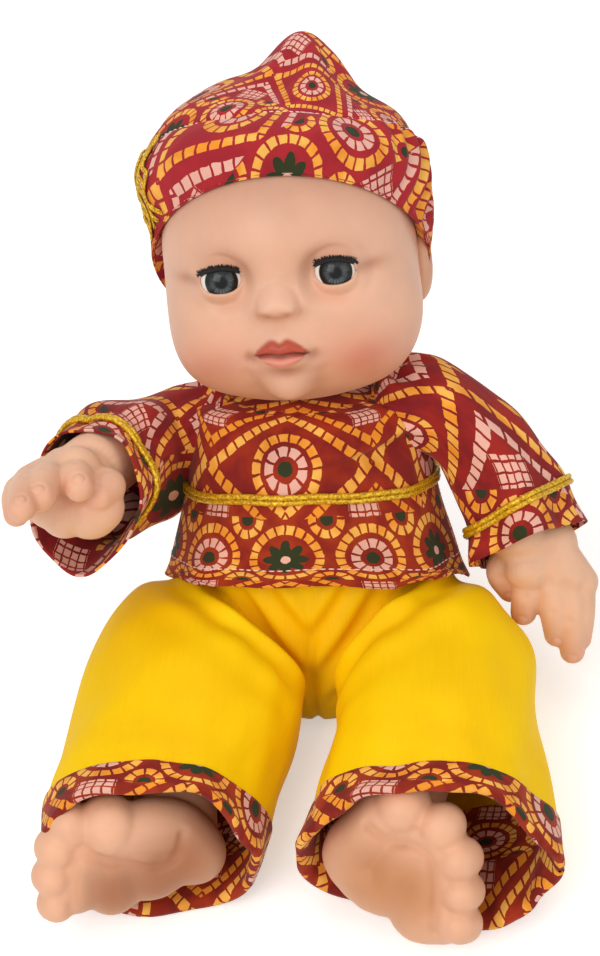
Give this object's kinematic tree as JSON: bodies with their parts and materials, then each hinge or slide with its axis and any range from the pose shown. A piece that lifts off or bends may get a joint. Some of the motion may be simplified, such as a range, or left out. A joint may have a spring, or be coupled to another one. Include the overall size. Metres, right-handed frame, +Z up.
{
  "type": "talking baby doll",
  "caption": "Seated vinyl baby doll with turning head and limbs, sleep eyes, a press-to-talk voice unit in the torso, printed tunic, satin trousers and a soft wrapped cap.",
  "frame": {"origin": "on the floor under the trouser seat, in the doll's middle plane", "axes": "+Z up, the doll faces -Y, its left side is +X"},
  "size_m": [0.2098, 0.2566, 0.2345],
  "materials": {
    "skin_vinyl": "soft moulded vinyl, satin, with rosy cheeks",
    "torso_plastic": "moulded, satin",
    "dark_plastic": "moulded, satin",
    "board": "solder mask",
    "steel": "plain",
    "cell_wrap": "printed wrap, bare of words",
    "speaker_paper": "pressed paper",
    "eye_gloss": "polished, grey iris",
    "lash_fibre": "combed fibre",
    "print_cloth": "thin woven print, tie-dye style dots and rings",
    "satin_cloth": "satin weave with sheen",
    "gold_lace": "metallic braid"
  },
  "bodies": {
    "torso": {"torso_front_shell": "torso_plastic", "torso_back_shell": "torso_plastic", "torso_screw_1": "steel", "torso_screw_2": "steel", "torso_screw_3": "steel", "torso_screw_4": "steel", "battery_box": "dark_plastic", "battery_cover": "torso_plastic", "battery_cover_screw": "steel", "battery_cell_1": "cell_wrap", "battery_cell_2": "cell_wrap", "contact_plate_left": "steel", "contact_plate_right": "steel", "circuit_board": "board", "tact_switch": "dark_plastic", "sound_chip": "dark_plastic", "button_spring": "steel", "speaker_basket": "steel", "speaker_cone": "speaker_paper", "speaker_magnet": "dark_plastic", "trouser_seat": "satin_cloth", "tunic_bodice": "print_cloth", "waist_lace": "gold_lace", "tunic_skirt": "print_cloth"},
    "power_switch": {"power_switch": "dark_plastic"},
    "talk_button": {"talk_button": "dark_plastic"},
    "head": {"head_shell": "skin_vinyl", "left_eye_cup": "dark_plastic", "right_eye_cup": "dark_plastic"},
    "left_eye": {"left_eye": "eye_gloss", "left_eye_weight": "steel", "left_lash": "lash_fibre"},
    "right_eye": {"right_eye": "eye_gloss", "right_eye_weight": "steel", "right_lash": "lash_fibre"},
    "cap": {"cap_crown": "print_cloth", "cap_band": "print_cloth", "cap_lace": "gold_lace"},
    "left_arm": {"left_arm": "skin_vinyl", "left_sleeve": "print_cloth", "left_cuff_lace": "gold_lace"},
    "right_arm": {"right_arm": "skin_vinyl", "right_sleeve": "print_cloth", "right_cuff_lace": "gold_lace"},
    "left_leg": {"left_leg": "skin_vinyl", "left_trouser_leg": "satin_cloth", "left_trouser_cuff": "print_cloth"},
    "right_leg": {"right_leg": "skin_vinyl", "right_trouser_leg": "satin_cloth", "right_trouser_cuff": "print_cloth"}
  },
  "joints": [
    {"name": "head_turn", "type": "hinge", "parent": "torso", "child": "head", "pos_m": [0, 0.02027, 0.11737], "axis": [0, 0.2924, 0.9563], "range_deg": [-60, 60]},
    {"name": "left_eye_sleep", "type": "hinge", "parent": "head", "child": "left_eye", "pos_m": [0.01753, 0.00718, 0.17995], "axis": [0.9986, 0.0204, 0.0482], "range_deg": [0, 50]},
    {"name": "right_eye_sleep", "type": "hinge", "parent": "head", "child": "right_eye", "pos_m": [-0.02292, 0.00635, 0.178], "axis": [0.9986, 0.0204, 0.0482], "range_deg": [0, 50]},
    {"name": "cap_lift", "type": "slide", "parent": "head", "child": "cap", "axis": [-0.0523, 0.3902, 0.9192], "range_m": [0, 0.08]},
    {"name": "left_shoulder", "type": "hinge", "parent": "torso", "child": "left_arm", "pos_m": [0.04, 0.0153, 0.10112], "axis": [-0.9877, 0.1496, -0.0457], "range_deg": [-10, 120], "deforming": ["left_sleeve", "left_trouser_leg"]},
    {"name": "right_shoulder", "type": "hinge", "parent": "torso", "child": "right_arm", "pos_m": [-0.04, 0.0153, 0.10112], "axis": [-0.9877, -0.1496, 0.0457], "range_deg": [-98, 32], "deforming": ["right_sleeve", "right_trouser_leg"]},
    {"name": "left_hip", "type": "hinge", "parent": "torso", "child": "left_leg", "pos_m": [0.0195, -0.006, 0.027], "axis": [-0.9726, 0.21, 0.1], "range_deg": [-75, 20], "deforming": ["left_trouser_leg", "trouser_seat", "tunic_skirt"]},
    {"name": "right_hip", "type": "hinge", "parent": "torso", "child": "right_leg", "pos_m": [-0.0195, -0.006, 0.027], "axis": [-0.9726, -0.21, -0.1], "range_deg": [-75, 20], "deforming": ["right_trouser_leg", "trouser_seat", "tunic_skirt"]},
    {"name": "talk_press", "type": "slide", "parent": "torso", "child": "talk_button", "axis": [0, 0.9563, -0.2924], "range_m": [0, 0.0025], "stiffness_N_per_m": 400, "deforming": ["button_spring"]},
    {"name": "power_slide", "type": "slide", "parent": "torso", "child": "power_switch", "axis": [1, 0, 0], "range_m": [0, 0.003]}
  ]
}
